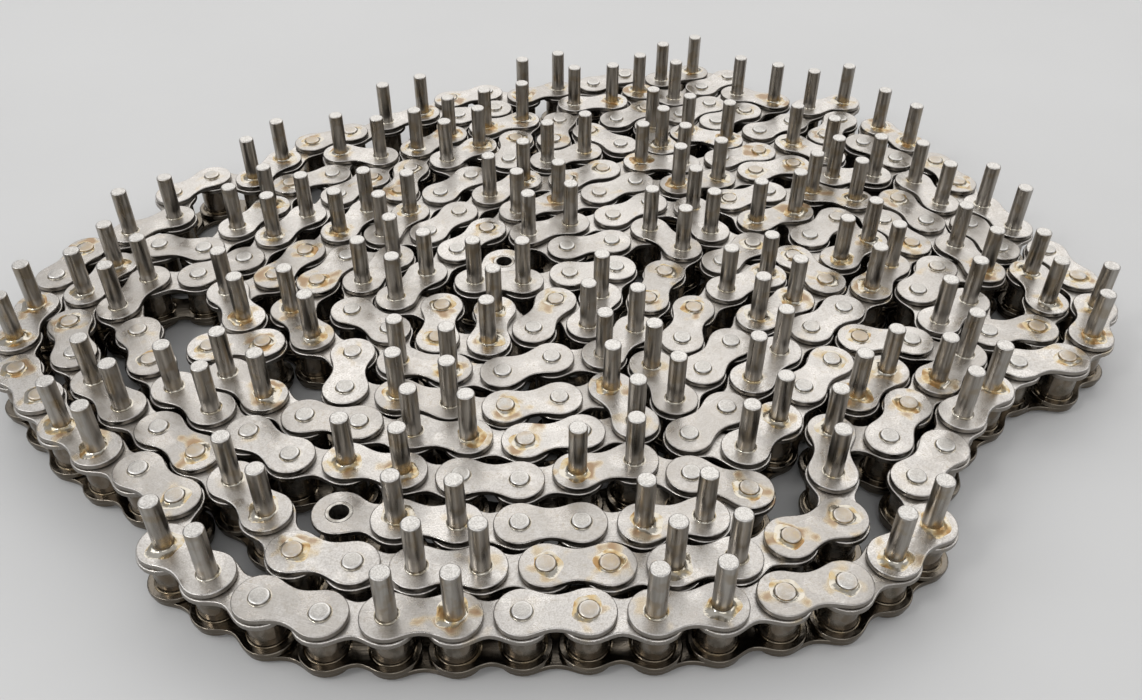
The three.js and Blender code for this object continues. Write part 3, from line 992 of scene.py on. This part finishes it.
ROOM_LOW = rgb(0.78, 0.78, 0.79)
ROOM_BAND = rgb(0.46, 0.46, 0.47)
ROOM_HIGH = rgb(0.92, 0.93, 0.95)
ROOM_BAND_AT, ROOM_HIGH_AT = 0.22, 0.9
ROOM_STRENGTH = 0.72

# Each softbox as name, place, width, depth, power and colour.
SOFTBOXES = [
    ("back_softbox", (0.1, 1.5, 1.25), 2.6, 1.6, 15.0, (1.0, 0.985, 0.96)),
    ("left_softbox", (-1.5, -0.2, 1.1), 1.0, 1.0, 6.0, (0.96, 0.98, 1.0)),
    ("right_softbox", (1.6, 0.1, 0.9), 1.0, 1.0, 4.0, (1.0, 1.0, 1.0)),
    ("front_softbox", (0.3, -1.6, 1.3), 1.4, 1.0, 6.0, (1.0, 1.0, 1.0)),
    ("small_softbox", (-1.0, -0.7, 1.3), 0.3, 0.3, 4.0, (1.0, 0.99, 0.97)),
]

CAMERA_PLACE = (0.00106, -0.29347, 0.2288)
CAMERA_PITCH = 49.55          # degrees up from looking straight down
CAMERA_ROLL = 0.49
SENSOR_MM = 36.0
LENS_MM = 33.69


def make_floor():
    """A large plain pale surface, slightly uneven in tone, and painted paler far from the coil as
    painted light where the softboxes light it less.
    """
    signs = ((-1, -1), (1, -1), (1, 1), (-1, 1))
    corners = [(x * FLOOR_REACH, y * FLOOR_REACH, 0) for x, y in signs]
    mesh = bpy.data.meshes.new("floor")
    mesh.from_pydata(corners, [], [(0, 1, 2, 3)])
    floor = bpy.data.objects.new("floor", mesh)
    bpy.context.scene.collection.objects.link(floor)
    look = Look("pale_floor")
    place = look.add("ShaderNodeTexCoord", output="Object")
    near = look.mix(look.noise(place, 9.0), FLOOR_DARK, FLOOR_LIGHT)
    away = look.add("ShaderNodeVectorMath", [place], output="Value", operation="LENGTH")
    # painted light: paler far away, where the softboxes light the floor less
    colour = look.mix(look.ramp(away, FLOOR_NEAR, FLOOR_FAR), near, FLOOR_AWAY_PAINTED_LIGHT)
    mesh.materials.append(look.finish(colour, 0.55, 0.0))


def make_world():
    """A pale room, with a duller band a little above the horizon to shape the metal."""
    world = bpy.data.worlds.new("studio")
    bpy.context.scene.world = world
    world.use_nodes = True
    tree = world.node_tree
    place = tree.nodes.new("ShaderNodeTexCoord")
    apart = tree.nodes.new("ShaderNodeSeparateXYZ")
    tone = tree.nodes.new("ShaderNodeValToRGB")
    low, high = tone.color_ramp.elements
    low.position, high.position = 0.0, ROOM_HIGH_AT
    low.color, high.color = ROOM_LOW, ROOM_HIGH
    tone.color_ramp.elements.new(ROOM_BAND_AT).color = ROOM_BAND
    tree.links.new(place.outputs["Generated"], apart.inputs["Vector"])
    tree.links.new(apart.outputs["Z"], tone.inputs["Fac"])
    tree.links.new(tone.outputs["Color"], tree.nodes["Background"].inputs["Color"])
    tree.nodes["Background"].inputs["Strength"].default_value = ROOM_STRENGTH


def make_softbox(name, place, width, depth, power, colour):
    """An area light aimed at the middle of the coil."""
    data = bpy.data.lights.new(name, "AREA")
    data.shape = "RECTANGLE"
    data.size, data.size_y = width, depth
    data.energy = power
    data.color = colour
    light = bpy.data.objects.new(name, data)
    bpy.context.scene.collection.objects.link(light)
    light.location = place
    light.rotation_euler = (-Vector(place)).to_track_quat("-Z", "Y").to_euler()


def make_camera():
    """The viewing angle of a person bent over the table, at about a foot from the coil."""
    data = bpy.data.cameras.new("camera")
    data.sensor_width = SENSOR_MM
    data.lens = LENS_MM
    data.clip_start = 0.01
    camera = bpy.data.objects.new("camera", data)
    bpy.context.scene.collection.objects.link(camera)
    pitch = Matrix.Rotation(math.radians(CAMERA_PITCH), 4, "X")
    roll = Matrix.Rotation(math.radians(CAMERA_ROLL), 4, "Z")
    camera.matrix_world = Matrix.Translation(CAMERA_PLACE) @ pitch @ roll
    bpy.context.scene.camera = camera


make_floor()
make_world()
for softbox in SOFTBOXES:
    make_softbox(*softbox)
make_camera()
bpy.context.scene.view_settings.view_transform = "Standard"
